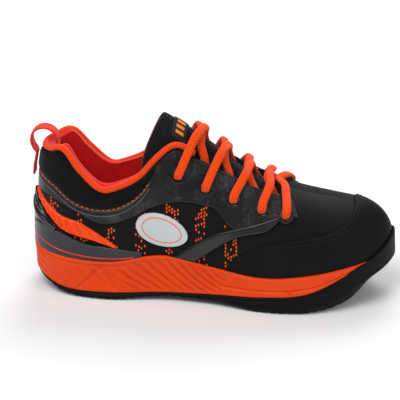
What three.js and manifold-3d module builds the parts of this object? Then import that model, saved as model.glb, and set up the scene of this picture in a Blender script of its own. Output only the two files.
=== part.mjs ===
// Court shoe for the right foot, in millimetres. +X points to the toe, -Y to the outer (lateral) side, +Z up.
import * as THREE from "three";
import { mergeVertices } from "three/addons/utils/BufferGeometryUtils.js";
import Module from "manifold-3d";

const wasm = await Module();
wasm.setup();

// ---------------------------------------------------------------- driving dimensions
const SEAT = 10; // stations on each side, from the heel centre (0) to the toe tip (10)
const GAP = 0.4; // clearance between pieces that lie on each other
const FABRIC = 1.2; // thickness of the knit and mesh
const FILM = 0.8; // thickness of the overlays
const LACE_R = 2.1; // radius of the lace
const HOLE_R = 3.8; // radius of the lace holes
const SHIFT_X = -1.2; // moves the shoe so that its box is centred on the origin
const SHIFT_Y = 2.15;

// the line where upper and sole meet, station by station
const SEAM_X = [-134, -127, -107, -74, -35, 5, 42, 76, 107, 129, 138];
const SEAM_LATERAL_Y = [0, -17, -28, -31, -31.5, -35, -41.5, -43.5, -35, -17, 5];
const SEAM_MEDIAL_Y = [0, 16.5, 27, 27.5, 27, 31, 37.5, 39.5, 36, 24, 5];
const SEAM_Z = [31, 30, 28, 28, 29, 26, 22, 22, 26, 32, 36];
// the crest that the two sides rise to
const CREST_X = [-88, -87, -80, -62, -33, -2, 26, 52, 76, 90, 94];
const CREST_Y = [0, 0, 0, 0, 0, 1, 2, 3, 4, 5, 5];
const CREST_Z = [158, 158, 157, 152, 141, 120, 97, 84, 77, 75, 75];
const FULLNESS = [2.5, 2.5, 2.4, 2.2, 2, 1.95, 2.05, 2.2, 2.4, 2.5, 2.5];
// heights on the sole's side wall
const GROUND_Z = [14, 9, 1, 0, 2.5, 2.5, 0, 0, 5, 19, 27];
const RUBBER_Z = [18.6, 12, 6, 5, 7, 9, 12, 17, 32, 43, 50];
const FOAM_Z = [36.5, 34, 31, 30, 37.5, 31, 27, 31, 36, 39, 42];
// how far the side wall stands out from the seam
const GROUND_OUT = [-3, 1, 6, 9, 4, 5, 8, 5, -1, -6, -8];
const RUBBER_OUT = [4, 5, 6.5, 6.5, 5, 5.5, 6.5, 6, 5.1, 4.2, 4.2];
const FOAM_OUT = [5, 5, 5, 5, 5, 5, 5, 5, 4.4, 2.6, 2.4];

// rows between the seam (0) and the crest (1)
const ROWS = [0, 0.02, 0.08, 0.16, 0.26, 0.38, 0.52, 0.67, 0.84, 1];
const COLUMN_STEP = 0.5;

// ---------------------------------------------------------------- the foot-shaped surface
// A smooth ring through 2 * SEAT values: the outer side forwards, then the inner side back.
function ring(lateral, medial = lateral) {
  const values = [...lateral, ...medial.slice(1, SEAT).reverse()];
  const n = values.length;
  return (q) => {
    const u = ((q % n) + n) % n;
    const i = Math.floor(u);
    const f = u - i;
    const [a, b, c, d] = [-1, 0, 1, 2].map((k) => values[(i + k + n) % n]);
    return b + 0.5 * f * (c - a + f * (2 * a - 5 * b + 4 * c - d + f * (3 * (b - c) + d - a)));
  };
}

// A smooth curve through [place, value] pairs, level beyond its ends.
function track(...points) {
  const slope = points.map((p, i) => {
    const a = points[Math.max(i - 1, 0)];
    const b = points[Math.min(i + 1, points.length - 1)];
    return (b[1] - a[1]) / (b[0] - a[0]);
  });
  return (x) => {
    if (x <= points[0][0]) return points[0][1];
    if (x >= points.at(-1)[0]) return points.at(-1)[1];
    const i = points.findIndex((p) => p[0] > x) - 1;
    const h = points[i + 1][0] - points[i][0];
    const f = (x - points[i][0]) / h;
    const ease = f * f * (3 - 2 * f);
    const rise = points[i][1] + (points[i + 1][1] - points[i][1]) * ease;
    return rise + h * f * (1 - f) * (slope[i] * (1 - f) - slope[i + 1] * f);
  };
}

const seamX = ring(SEAM_X);
const seamY = ring(SEAM_LATERAL_Y, SEAM_MEDIAL_Y);
const seamZ = ring(SEAM_Z);
const crestX = ring(CREST_X);
const crestY = ring(CREST_Y);
const crestZ = ring(CREST_Z);
const fullness = ring(FULLNESS);
const smooth = (x) => THREE.MathUtils.smoothstep(x, 0, 1);
const mix = THREE.MathUtils.lerp;

// Point of the surface at station q (negative on the inner side) and height t.
function skin(q, t) {
  const power = 2 / fullness(q);
  const c = Math.max(Math.cos((t * Math.PI) / 2), 0) ** power;
  const s = Math.sin((t * Math.PI) / 2) ** power;
  return new THREE.Vector3(
    crestX(q) + (seamX(q) - crestX(q)) * c,
    crestY(q) + (seamY(q) - crestY(q)) * c,
    seamZ(q) + (crestZ(q) - seamZ(q)) * s
  );
}

function slopeNormal(q, t) {
  const step = 1e-3;
  const height = THREE.MathUtils.clamp(t, 0.02, 0.97);
  const along = skin(q + step, height).sub(skin(q - step, height));
  const up = skin(q, height + step).sub(skin(q, height - step));
  return along.cross(up).normalize();
}

function skinNormal(q, t) {
  const normal = slopeNormal(q, t);
  if (t < 0.999) return normal;
  return normal.add(slopeNormal(-q, t)).normalize();
}

const smoothPlace = (q, t, offset) => skin(q, t).addScaledVector(skinNormal(q, t), offset);

// The same point on flat facets between the columns and rows, so that layers nest without touching.
function place(q, t, offset) {
  const column = Math.floor(q / COLUMN_STEP + 1e-6) * COLUMN_STEP;
  const row = Math.min(ROWS.findLastIndex((r) => r <= t + 1e-9), ROWS.length - 2);
  const u = (q - column) / COLUMN_STEP;
  const v = (t - ROWS[row]) / (ROWS[row + 1] - ROWS[row]);
  const corner = (i, j) => smoothPlace(column + i * COLUMN_STEP, ROWS[row + j], offset);
  const edge = (j) => (u < 1e-6 ? corner(0, j) : corner(0, j).lerp(corner(1, j), u));
  if (v < 1e-6) return edge(0);
  return v > 1 - 1e-6 ? edge(1) : edge(0).lerp(edge(1), v);
}

// The height t at which the surface reaches z.
function heightAt(q, z) {
  const part = THREE.MathUtils.clamp((z - seamZ(q)) / (crestZ(q) - seamZ(q)), 0, 1);
  return (2 / Math.PI) * Math.asin(part ** (fullness(q) / 2));
}

// A point beside the seam in plan, moved out by offset, at height z.
function beside(q, offset, z) {
  const step = 1e-3;
  const along = new THREE.Vector2(seamX(q + step) - seamX(q - step), seamY(q + step) - seamY(q - step));
  along.normalize();
  return new THREE.Vector3(seamX(q) + along.y * offset, seamY(q) - along.x * offset, z);
}

// ---------------------------------------------------------------- solids
function closedBody(points, faces) {
  const flat = faces.flatMap((face) => face.flatMap((i) => points[i].toArray()));
  const geometry = new THREE.BufferGeometry();
  geometry.setAttribute("position", new THREE.Float32BufferAttribute(flat, 3));
  return tidy(geometry);
}

// Joins equal corners and drops the faces that have shrunk to a line.
function tidy(source) {
  const bare = source.clone();
  bare.deleteAttribute("normal");
  bare.deleteAttribute("uv");
  const merged = mergeVertices(bare, 1e-3);
  const index = merged.index.array;
  const kept = [];
  for (let i = 0; i < index.length; i += 3) {
    const [a, b, c] = index.slice(i, i + 3);
    if (a !== b && b !== c && c !== a) kept.push(a, b, c);
  }
  merged.setIndex(kept);
  return merged;
}

const stations = (from, to, extra = []) => {
  const list = [from, to, ...extra];
  for (let q = Math.ceil(from / COLUMN_STEP) * COLUMN_STEP; q < to; q += COLUMN_STEP) list.push(q);
  return [...new Set(list.map((q) => Math.round(q * 1000) / 1000))].sort((a, b) => a - b);
};

// A layer of the upper between two heights and two offsets, on one side or on both.
function panel({ sides = [1, -1], from, to, extra, low, high, inner, outer }) {
  const value = (f, ...at) => (typeof f === "function" ? f(...at) : f);
  const both = sides.length === 2;
  const columns = stations(from, to, extra);
  const points = [];
  const faces = [];
  for (const side of sides) {
    const quad = (a, b, c, d) => {
      const turns = side > 0 ? [[a, b, c], [a, c, d]] : [[a, c, b], [a, d, c]];
      faces.push(...turns);
    };
    const grid = columns.map((q) => {
      const bottom = Math.max(value(low, q), 0);
      const top = Math.max(Math.min(value(high, q), 1), bottom);
      const heights = [bottom, ...ROWS.slice(1, -1).map((r) => THREE.MathUtils.clamp(r, bottom, top)), top];
      return heights.map((t) => {
        const pair = [value(outer, q, t), value(inner, q, t)].map((d) => place(side * q, t, d));
        points.push(...pair);
        return { t, out: points.length - 2, in: points.length - 1 };
      });
    });
    const last = ROWS.length - 1;
    for (let i = 0; i + 1 < grid.length; i++) {
      const [here, next] = [grid[i], grid[i + 1]];
      for (let j = 0; j < last; j++) {
        quad(here[j].out, next[j].out, next[j + 1].out, here[j + 1].out);
        quad(here[j].in, here[j + 1].in, next[j + 1].in, next[j].in);
      }
      quad(here[0].in, next[0].in, next[0].out, here[0].out);
      const closed = both && here[last].t > 0.9999 && next[last].t > 0.9999;
      if (!closed) quad(here[last].out, next[last].out, next[last].in, here[last].in);
    }
    const start = grid[0];
    const end = grid.at(-1);
    for (let j = 0; j < last; j++) {
      if (!(both && from === 0)) quad(start[j].in, start[j].out, start[j + 1].out, start[j + 1].in);
      if (!(both && to === SEAT)) quad(end[j].out, end[j].in, end[j + 1].in, end[j + 1].out);
    }
  }
  return closedBody(points, faces);
}

// A solid of closed loops round the foot, listed from its lower cap to its upper cap.
function hull(...loops) {
  const columns = stations(0, SEAT);
  const around = [...columns, ...columns.slice(1, -1).reverse().map((q) => -q)];
  const count = around.length;
  const points = loops.flatMap((loop) => around.map((q) => loop(q)));
  const faces = [];
  for (let k = 0; k + 1 < loops.length; k++) {
    for (let i = 0; i < count; i++) {
      const [a, b] = [k * count + i, k * count + ((i + 1) % count)];
      // the diagonal always rises forwards, so that walls which face each other have the same facets
      if (points[a + count].z > points[a].z) faces.push([a, b, b + count], [a, b + count, a + count]);
      else faces.push([a, b, a + count], [b, b + count, a + count]);
    }
  }
  const top = (loops.length - 1) * count;
  for (let i = 0; i < columns.length - 1; i++) {
    const [a, b, c, d] = [i, i + 1, count - i - 1, (count - i) % count];
    faces.push([a, c, b], [a, d, c]);
    faces.push([top + a, top + b, top + c], [top + a, top + c, top + d]);
  }
  return closedBody(points, faces);
}

function solid(geometry) {
  const { position } = geometry.attributes;
  const mesh = new wasm.Mesh({
    numProp: 3,
    vertProperties: new Float32Array(position.array),
    triVerts: new Uint32Array(geometry.index.array),
  });
  return new wasm.Manifold(mesh);
}

function geometryOf(body) {
  const mesh = body.getMesh();
  const geometry = new THREE.BufferGeometry();
  geometry.setAttribute("position", new THREE.Float32BufferAttribute(mesh.vertProperties, 3));
  geometry.setIndex([...mesh.triVerts]);
  return geometry;
}

const cut = (geometry, cutters) => {
  const tools = cutters.map((cutter) => solid(tidy(cutter)));
  return geometryOf(tools.reduce((body, tool) => body.subtract(tool), solid(tidy(geometry))));
};

// ---------------------------------------------------------------- lace holes
function eyeletFrame(side, k) {
  const [q, t] = EYELETS[k];
  const turn = new THREE.Quaternion().setFromUnitVectors(new THREE.Vector3(0, 0, 1), skinNormal(side * q, t));
  return new THREE.Matrix4().compose(place(side * q, t, 0), turn, new THREE.Vector3(1, 1, 1));
}

function holeCutter(side, k) {
  const rod = new THREE.CylinderGeometry(HOLE_R, HOLE_R, 14, 10);
  rod.rotateX(Math.PI / 2);
  return rod.applyMatrix4(eyeletFrame(side, k));
}

// ---------------------------------------------------------------- materials and the group
const shoe = new THREE.Group();
const finish = (color, roughness, metalness = 0) => ({ color, roughness, metalness });
const KNIT = finish("#161617", 0.9);
const MESH = finish("#151517", 0.85);
const GLOSS = finish("#2c2e31", 0.35);
const MATTE = finish("#1b1c1f", 0.55);
const RED = finish("#d60a00", 0.8);
const ORANGE = finish("#f04a04", 0.7);
const MIDSOLE = finish("#dc4508", 0.6);
const RUBBER = finish("#17171a", 0.7);
const CLIP = finish("#47474c", 0.35);
const BOARD = finish("#8d867a", 0.9);
const BADGE = finish("#c9ced0", 0.45);
const AGLET = finish("#c8380a", 0.3);

function add(name, look, geometry) {
  const mesh = new THREE.Mesh(geometry, new THREE.MeshStandardMaterial(look));
  mesh.name = name;
  shoe.add(mesh);
}

// ---------------------------------------------------------------- outlines on the surface
const collarTop = track([0, 0.37], [1, 0.385], [1.6, 0.41], [2.2, 0.33], [2.75, 0.27], [3.2, 0.31],
  [3.6, 0.39], [3.95, 0.53], [4.25, 0.635], [4.6, 0.64], [5.5, 0.69], [6.2, 0.74], [6.75, 0.8], [7, 1]);
const panelLow = track([0, 0.28], [1.4, 0.25], [2.25, 0.2], [2.8, 0.2], [3.25, 0.24], [3.6, 0.32],
  [3.8, 0.42]);
const saddleLow = track([0, 0.2], [1.5, 0.19], [2.25, 0.165], [2.8, 0.14], [3.4, 0.19], [3.8, 0.26],
  [4.45, 0.34], [5.5, 0.4], [6.5, 0.5], [7, 0.62]);
const toeCapTop = track([5.05, 0.02], [5.45, 0.12], [5.9, 0.22], [6.5, 0.31], [7.1, 0.37], [7.7, 0.42],
  [8.2, 0.51], [8.6, 0.62], [9, 0.72], [9.5, 0.81], [10, 0.84]);
const clipTop = track([0, 0.18], [0.9, 0.14], [1.5, 0.1], [2, 0.075], [2.5, 0.058], [3.1, 0.055],
  [3.6, 0.05]);
const insertTop = track([0.4, 0.19], [1.4, 0.145], [1.8, 0.13], [2.25, 0.125], [2.6, 0.105], [3.1, 0.06]);
const insertLow = track([0.4, 0.185], [1.4, 0.115], [1.8, 0.09], [2.25, 0.08], [2.6, 0.075], [3.1, 0.058]);
const strapTop = track([4.2, 0.04], [4.95, 0.21], [5.45, 0.3], [6.1, 0.43], [6.7, 0.56]);
const strapLow = track([4.5, 0.01], [4.95, 0.12], [5.55, 0.26], [6.1, 0.35], [6.7, 0.46]);
const badgeHalf = (q) => 0.075 * Math.sqrt(Math.max(1 - ((q - 4) / 0.5) ** 2, 0)) + 0.004;
// the lace holes on each side, from the ankle to the toes: [station, height]
const EYELETS = [[4.3, 0.46], [4.85, 0.46], [5.45, 0.48], [6.1, 0.51], [6.68, 0.53]];
const STEEP = [1.25, 1.75, 2.25, 2.75, 3.25, 3.75, 4.25]; // more columns where the collar climbs
const rimZ = ring(FOAM_Z);
const rim = (q) => heightAt(q, rimZ(q) + 0.6);
const footbed = (q) => heightAt(q, seamZ(q) + 2.6);

// ---------------------------------------------------------------- sole
const groundRing = ring(GROUND_Z);
const groundZ = (q) => Math.max(groundRing(q), 0);
const groundOut = ring(GROUND_OUT);
const rubberZ = ring(RUBBER_Z);
const rubberOut = ring(RUBBER_OUT);
const foamOut = ring(FOAM_OUT);
const TREAD = 3; // thickness of the rubber under the foot
const WALL = 2.2; // thickness of the rubber on the side wall
const CUP = FABRIC + GAP; // the midsole's cup stands off the knit
const bumper = (q) => smooth((Math.abs(q) - 7.8) / 0.8); // 1 where the rubber climbs over the toe

function makeSole() {
  const toeWall = FABRIC + FILM + 3 * GAP + WALL;
  const trayOut = (q) => Math.min(groundOut(q), rubberOut(q)) - WALL;
  // the faces where rubber and midsole meet: grow is 0 on the rubber and the gap on the midsole
  const tray = (grow) => (q) => beside(q, trayOut(q) - 2 - grow, groundZ(q) + TREAD + grow);
  const trayEdge = (grow) => (q) => beside(q, trayOut(q) - grow, groundZ(q) + TREAD + 0.3 + grow);
  const wallFoot = (grow) => (q) => beside(q, mix(rubberOut(q) - WALL, 2.9, bumper(q)) - grow,
    Math.min(rubberZ(q) + grow - 0.4, seamZ(q) - 4));
  const rubberEdge = (q, offset) => {
    const wall = beside(q, rubberOut(q) + offset, rubberZ(q));
    const toe = place(q, heightAt(q, rubberZ(q)), toeWall + offset);
    return wall.lerp(toe, bumper(q));
  };
  add("outsole", RUBBER, hull(
    (q) => beside(q, groundOut(q) - 3, groundZ(q)),
    (q) => beside(q, groundOut(q), groundZ(q) + 1.2),
    (q) => beside(q, mix((groundOut(q) + rubberOut(q)) / 2 + 1.4, 3.75, bumper(q)),
      mix((groundZ(q) * 2 + rubberZ(q)) / 3 + 0.8, seamZ(q) - 6, bumper(q))),
    (q) => rubberEdge(q, 0),
    (q) => rubberEdge(q, -WALL),
    wallFoot(0),
    trayEdge(0),
    tray(0)
  ));
  const slim = (q) => smooth((Math.abs(q) - 7.4) / 0.9); // 1 where the foam is slim behind the toe rubber
  add("midsole", MIDSOLE, hull(
    tray(GAP),
    trayEdge(GAP),
    wallFoot(GAP),
    (q) => beside(q, mix(rubberOut(q) - WALL - GAP, 2.1, slim(q)),
      mix(rubberZ(q) + GAP, rimZ(q) - 3, slim(q))),
    (q) => beside(q, mix(rubberOut(q) - 0.4, 1.95, slim(q)), mix(rubberZ(q) + GAP, rimZ(q) - 2, slim(q))),
    (q) => beside(q, mix((rubberOut(q) + foamOut(q)) / 2 - 0.6, 1.95, slim(q)),
      mix((rubberZ(q) + rimZ(q)) / 2, rimZ(q) - 1, slim(q))),
    (q) => beside(q, mix(foamOut(q), 1.95, slim(q)), rimZ(q)),
    (q) => place(q, heightAt(q, rimZ(q)), CUP),
    (q) => place(q, Math.min(0.02, heightAt(q, rimZ(q))), CUP),
    (q) => beside(q, CUP, seamZ(q) - GAP)
  ));

  const sheet = (inset, low, high) => hull(
    (q) => beside(q, -inset, seamZ(q) + low),
    (q) => beside(q, -inset, seamZ(q) + high)
  );
  add("strobel_board", BOARD, sheet(0.6, 0, 1.2));
  add("sockliner", MATTE, sheet(6.2, 1.6, 6));
}

// ---------------------------------------------------------------- upper
const LINING = 0.8; // thickness of the lining
const STIFF = 1; // thickness of the heel counter and the toe puff
const above = FABRIC + GAP; // the overlays lie on the knit
const padding = (t) => 1 + 3 * smooth((t - 0.04) / 0.16);
const foamTop = -2 * GAP - STIFF;
const liningTop = (q, t) => foamTop - padding(t) - GAP;
const frontLining = (q) => -GAP - (STIFF + GAP) * smooth((q - 7.5) / 0.5);

const SIDES = [["lateral", 1], ["medial", -1]];

function makeUpper() {
  const knit = { inner: 0, outer: FABRIC };
  const film = { inner: above, outer: above + FILM };
  const holes = EYELETS.flatMap((_, k) => SIDES.map(([, side]) => holeCutter(side, k)));
  add("quarter", KNIT, cut(panel({
    from: 0, to: 4.6, extra: STEEP, low: 0, high: collarTop, ...knit,
  }), holes));
  add("vamp", MESH, cut(panel({
    from: 4.62, to: SEAT, extra: [6.75], low: 0, high: collarTop, ...knit,
  }), holes));
  add("vamp_lining", MATTE, cut(panel({ from: 4.1, to: SEAT, extra: [6.75], low: footbed,
    high: (q) => collarTop(q) - 0.005, inner: (q) => frontLining(q) - LINING, outer: frontLining }), holes));
  const stiffener = { inner: -GAP - STIFF, outer: -GAP };
  add("toe_puff", BOARD, panel({ from: 8, to: SEAT, low: footbed, high: 0.6, ...stiffener }));
  add("heel_counter", BOARD, panel({ from: 0, to: 3, low: footbed, high: 0.2, ...stiffener }));
  const collar = { from: 0, to: 4, extra: STEEP.slice(0, 6), low: footbed };
  add("collar_foam", MATTE, panel({ ...collar, high: (q) => collarTop(q) - 0.012,
    inner: (q, t) => foamTop - padding(t), outer: foamTop }));
  add("collar_lining", RED, panel({ ...collar, high: collarTop,
    inner: (q, t) => liningTop(q, t) - LINING, outer: liningTop }));
  add("collar_panel", KNIT, panel({ ...collar, to: 3.8, low: (q) => panelLow(q) + 0.008,
    high: (q) => collarTop(q) - 0.02, inner: above, outer: above + 2.2 }));
  add("toe_cap", MATTE, panel({
    from: 5.5, to: SEAT, extra: [8.25, 8.75, 9.25], low: rim, high: toeCapTop, ...film,
  }));
  for (const [name, side] of SIDES) {
    const sides = [side];
    add(`saddle_${name}`, GLOSS, cut(panel({
      sides, from: 0.02, to: 7, extra: [...STEEP, 3.8, 3.82], low: saddleLow,
      high: (q) => (q <= 3.8 ? panelLow(q) : collarTop(Math.min(q, 6.6)) - 0.02), ...film,
    }), holes));
    add(`forefoot_strap_${name}`, GLOSS, panel({ sides, from: 4.2, to: 6.42, extra: [4.4, 4.75, 5.25],
      low: (q) => Math.max(rim(q), strapLow(q)), high: (q) => Math.max(strapTop(q), rim(q) + 0.01),
      inner: above + FILM + GAP, outer: above + 2 * FILM + GAP }));
    add(`heel_insert_${name}`, ORANGE, panel({ sides, from: 0.4, to: 3.1, low: insertLow, high: insertTop,
      inner: above, outer: above + 2 }));
    add(`side_badge_${name}`, BADGE, panel({ sides, from: 3.5, to: 4.5, extra: [3.6, 3.75, 4.25, 4.4],
      low: (q) => 0.165 - badgeHalf(q), high: (q) => 0.165 + badgeHalf(q), ...film }));
  }
  add("heel_clip", CLIP, panel({ from: 0, to: 3.6, low: rim, high: (q) => clipTop(q) - 0.006,
    inner: above, outer: (q) => above + 1.4 + 1.6 * smooth(2 - q / 1.2) }));
}

// ---------------------------------------------------------------- tongue
const tongueLow = track([3.45, 0.42], [3.7, 0.4], [4.3, 0.38], [5, 0.4], [6, 0.48], [7, 0.58], [7.4, 0.64]);
const tongueTop = track([3.45, 0.46], [3.66, 0.64], [3.78, 0.82], [3.86, 1]);
const TONGUE_SIDE = -7.6; // the sides of the tongue lie below the lace

// The tongue's outer face: low under the eyestays, and rising to the throat between them.
function tongueFace(q, t) {
  const edge = Math.min(collarTop(q), 0.86);
  const crest = -1 - 1.2 * smooth((q - 6.3) / 0.5);
  return mix(TONGUE_SIDE, crest, smooth((t - edge - 0.02) / (0.97 - edge)));
}

function makeTongue() {
  const filling = (q) => 3.8 - 2 * smooth((q - 4.5) / 2.5);
  const layer = (top, depth) => panel({
    from: 3.45, to: 7.4, extra: [3.56, 3.66, 3.78, 3.86, 4.12, 4.3], low: tongueLow, high: tongueTop,
    outer: (q, t) => tongueFace(q, t) - top(q), inner: (q, t) => tongueFace(q, t) - top(q) - depth(q),
  });
  add("tongue", MESH, layer(() => 0, () => LINING));
  add("tongue_foam", MATTE, layer(() => LINING + GAP, filling));
  add("tongue_lining", RED, layer((q) => LINING + 2.5 * GAP + filling(q), () => LINING));
  add("tongue_label", GLOSS, panel({ from: 4.2, to: 4.42, low: 0.74, high: 1,
    outer: (q, t) => tongueFace(q, t) + GAP + 0.6, inner: (q, t) => tongueFace(q, t) + GAP }));
}

// ---------------------------------------------------------------- cords and bindings
// A round tube through the points, with flat ends.
function tube(points, radius, sides) {
  const tangents = points.map((p, i) => {
    const before = points[Math.max(i - 1, 0)];
    return points[Math.min(i + 1, points.length - 1)].clone().sub(before).normalize();
  });
  let across = new THREE.Vector3(0, 0, 1).cross(tangents[0]).normalize();
  const rings = points.map((p, i) => {
    across = across.clone().addScaledVector(tangents[i], -across.dot(tangents[i])).normalize();
    const up = tangents[i].clone().cross(across);
    return Array.from({ length: sides }, (_, k) => {
      const angle = (2 * Math.PI * k) / sides;
      const right = across.clone().multiplyScalar(radius * Math.cos(angle));
      return p.clone().add(right).addScaledVector(up, radius * Math.sin(angle));
    });
  });
  const faces = [];
  for (let i = 0; i + 1 < rings.length; i++) {
    for (let k = 0; k < sides; k++) {
      const [a, b] = [i * sides + k, i * sides + ((k + 1) % sides)];
      faces.push([a, b, b + sides], [a, b + sides, a + sides]);
    }
  }
  const end = (rings.length - 1) * sides;
  for (let k = 1; k + 1 < sides; k++) {
    faces.push([0, k + 1, k], [end, end + k, end + k + 1]);
  }
  return closedBody(rings.flat(), faces);
}

// A point beside the collar's edge: away from the fabric in the surface, and out from it.
function besideCollar(q, away, out) {
  const at = Math.abs(q);
  const side = Math.sign(q) || 1;
  const edge = (k) => skin(side * k, collarTop(k));
  const along = at < 0.02 ? new THREE.Vector3(0, -1, 0) : edge(at + 0.02).sub(edge(at - 0.02)).normalize();
  const normal = skinNormal(q, collarTop(at));
  const up = normal.clone().cross(along).multiplyScalar(at < 0.02 ? 1 : side);
  return edge(at).addScaledVector(up, away).addScaledVector(normal, out);
}

const BINDING_R = 2.1;

function makeBinding() {
  const route = [];
  for (let q = -4.56; q <= 4.57; q += 0.24) route.push(besideCollar(q, BINDING_R + 0.8, 0.4));
  add("collar_binding", ORANGE, tube(route, BINDING_R, 8));
}

// ---------------------------------------------------------------- lace
// Lace points near a hole, as [distance towards the throat, height above the surface].
const OVER = [[0, 0.4], [0.5, 3.2], [2.4, 5.6], [7, 6.3]];
const UNDER = [[0, 0.4], [0.4, -2.4], [2.8, -4.6]];

function besideHole(side, k, [distance, offset], shift = 0) {
  const [q, t] = EYELETS[k];
  const scale = skin(q, t + 0.01).distanceTo(skin(q, t - 0.01)) / 0.02;
  return smoothPlace(side * (q + shift), t + distance / scale, offset);
}

// From the hole k on one side, over its eyestay and across the tongue, under the other side to hole k + 1.
function strand(side, k, high) {
  const next = EYELETS[k + 1][0];
  const middle = mix(EYELETS[k][0], next, 0.85);
  const edge = collarTop(next);
  const over = OVER.slice(1).map((at, i) => besideHole(side, k, at, 0.012 * i * i));
  const under = UNDER.slice(1).map((at) => besideHole(-side, k + 1, at));
  return [
    ...over,
    smoothPlace(side * mix(EYELETS[k][0], middle, 0.6), 0.78, high ? 6.5 : 5.8),
    smoothPlace(side * middle, 1, high ? 6.6 : 1.9),
    smoothPlace(-side * (middle + 0.02), mix(edge, 1, 0.45), high ? 0.6 : -1.2),
    smoothPlace(-side * (next + 0.02), edge + 0.02, -4.4),
    ...under.reverse(),
  ];
}

function laceRoute() {
  const half = (start) => {
    const points = [];
    for (let k = 0; k < 4; k++) {
      const side = k % 2 ? -start : start;
      points.push(besideHole(side, k, OVER[0]), ...strand(side, k, side > 0));
    }
    return points;
  };
  const bar = [
    besideHole(1, 4, OVER[0]),
    ...OVER.slice(1).map((at, i) => besideHole(1, 4, at, 0.012 * i * i)),
    smoothPlace(6.88, 0.86, 5.6),
    smoothPlace(6.9, 1, 4.4),
    smoothPlace(-6.88, 0.86, 5.6),
    ...OVER.slice(1).map((at, i) => besideHole(-1, 4, at, 0.012 * i * i)).reverse(),
    besideHole(-1, 4, OVER[0]),
  ];
  // tails tucked inside, forwards along the lining
  const tail = (side) => [
    smoothPlace(side * 5.4, 0.31, -4),
    smoothPlace(side * 5.1, 0.32, -4),
    smoothPlace(side * 4.8, 0.33, -4.1),
    smoothPlace(side * 4.55, 0.345, -4.2),
    smoothPlace(side * 4.37, 0.38, -4.5),
    smoothPlace(side * 4.305, 0.425, -4.4),
    smoothPlace(side * 4.3, 0.45, -2.4),
  ];
  const first = [...tail(1), ...half(1)];
  const second = [...tail(-1), ...half(-1)];
  return [first, bar, second.reverse()];
}

function makeLace() {
  const [first, bar, second] = laceRoute();
  const route = [...first, ...bar, ...second];
  add("lace", ORANGE, tube(route, LACE_R, 8));
  for (const [name, side, end, before] of [
    ["lateral", 1, route[0], route[1]],
    ["medial", -1, route.at(-1), route.at(-2)],
  ]) {
    const along = end.clone().sub(before).normalize();
    const tip = (d) => end.clone().addScaledVector(along, d);
    add(`aglet_${name}`, AGLET, tube([tip(0.4), tip(9), tip(18)], 1.9, 8));
    EYELETS.forEach((_, k) => {
      const ringShape = new THREE.Shape().absarc(0, 0, 5.5, 0, 2 * Math.PI);
      ringShape.holes.push(new THREE.Path().absarc(0, 0, 3.8, 0, 2 * Math.PI, true));
      const flat = { depth: 0.8, bevelEnabled: false, curveSegments: 6 };
      const eyelet = new THREE.ExtrudeGeometry(ringShape, flat);
      eyelet.translate(0, 0, above + FILM + GAP);
      add(`eyelet_${name}_${k + 1}`, GLOSS, tidy(eyelet.applyMatrix4(eyeletFrame(side, k))));
    });
  }
}

// ---------------------------------------------------------------- pull loop at the heel
function makePullLoop() {
  const width = 11;
  const thick = 1.5;
  const band = (points) => {
    const path = points.map(([x, z]) => new THREE.Vector2(x, z));
    const side = (sign) => path.map((p, i) => {
      const a = path[Math.max(i - 1, 0)];
      const b = path[Math.min(i + 1, path.length - 1)];
      const normal = new THREE.Vector2(a.y - b.y, b.x - a.x).normalize();
      return p.clone().addScaledVector(normal, (sign * thick) / 2);
    });
    const outline = new THREE.Shape([...side(1), ...side(-1).reverse()]);
    const geometry = new THREE.ExtrudeGeometry(outline, { depth: width, bevelEnabled: false });
    geometry.rotateX(Math.PI / 2);
    geometry.translate(0, width / 2, 0);
    return tidy(geometry);
  };
  add("pull_loop", RED, band([[-134.6, 106.5], [-137.4, 111], [-138.6, 116], [-137.2, 121.5], [-132.5, 125.4],
    [-126.5, 126], [-121.4, 123.4], [-118.6, 119.4], [-118, 116.6]]));
  add("pull_tab_outer", RED, band([[-137.2, 88], [-136.4, 96], [-134.4, 105.6]]));
  add("pull_tab_inner", RED, band([[-118, 113.6], [-118.6, 106], [-120.6, 98]]));
}

makeSole();
makeUpper();
makeTongue();
makeBinding();
makeLace();
makePullLoop();

shoe.traverse((mesh) => {
  if (mesh.isMesh) mesh.geometry.translate(SHIFT_X, SHIFT_Y, 0);
});

export default shoe;
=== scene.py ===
"""Court shoe for the right foot, in metres. +X points to the toe, -Y to the outer side, +Z up."""

import math

import bmesh
import bpy
import numpy as np
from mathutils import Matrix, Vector


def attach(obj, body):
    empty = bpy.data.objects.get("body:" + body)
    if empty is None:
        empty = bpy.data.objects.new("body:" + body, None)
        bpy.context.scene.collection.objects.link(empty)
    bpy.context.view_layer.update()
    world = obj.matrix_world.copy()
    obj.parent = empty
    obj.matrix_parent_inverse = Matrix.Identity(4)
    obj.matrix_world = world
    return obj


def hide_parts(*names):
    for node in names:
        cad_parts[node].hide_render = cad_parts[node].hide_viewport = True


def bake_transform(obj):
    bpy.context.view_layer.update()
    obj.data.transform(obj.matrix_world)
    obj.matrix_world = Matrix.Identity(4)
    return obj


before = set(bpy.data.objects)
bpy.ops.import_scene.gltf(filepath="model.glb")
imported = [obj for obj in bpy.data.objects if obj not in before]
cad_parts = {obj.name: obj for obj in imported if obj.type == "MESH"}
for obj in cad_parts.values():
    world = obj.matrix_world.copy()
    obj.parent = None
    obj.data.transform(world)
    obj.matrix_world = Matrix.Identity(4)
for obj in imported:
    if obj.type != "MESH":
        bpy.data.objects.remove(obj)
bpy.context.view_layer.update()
SHOE = "shoe"
MM = 0.001

# ---------------------------------------------------------------- driving dimensions, in millimetres
SEAT = 10  # stations on each side, from the heel centre (0) to the toe tip (10)
FABRIC = 1.2  # knit and mesh
FILM = 0.8  # overlays
LAYER = FABRIC - 0.05  # the overlays are bonded to the knit
SHIFT = np.array([-1.2, 2.15, 0.0])  # centres the shoe on the origin

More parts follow.
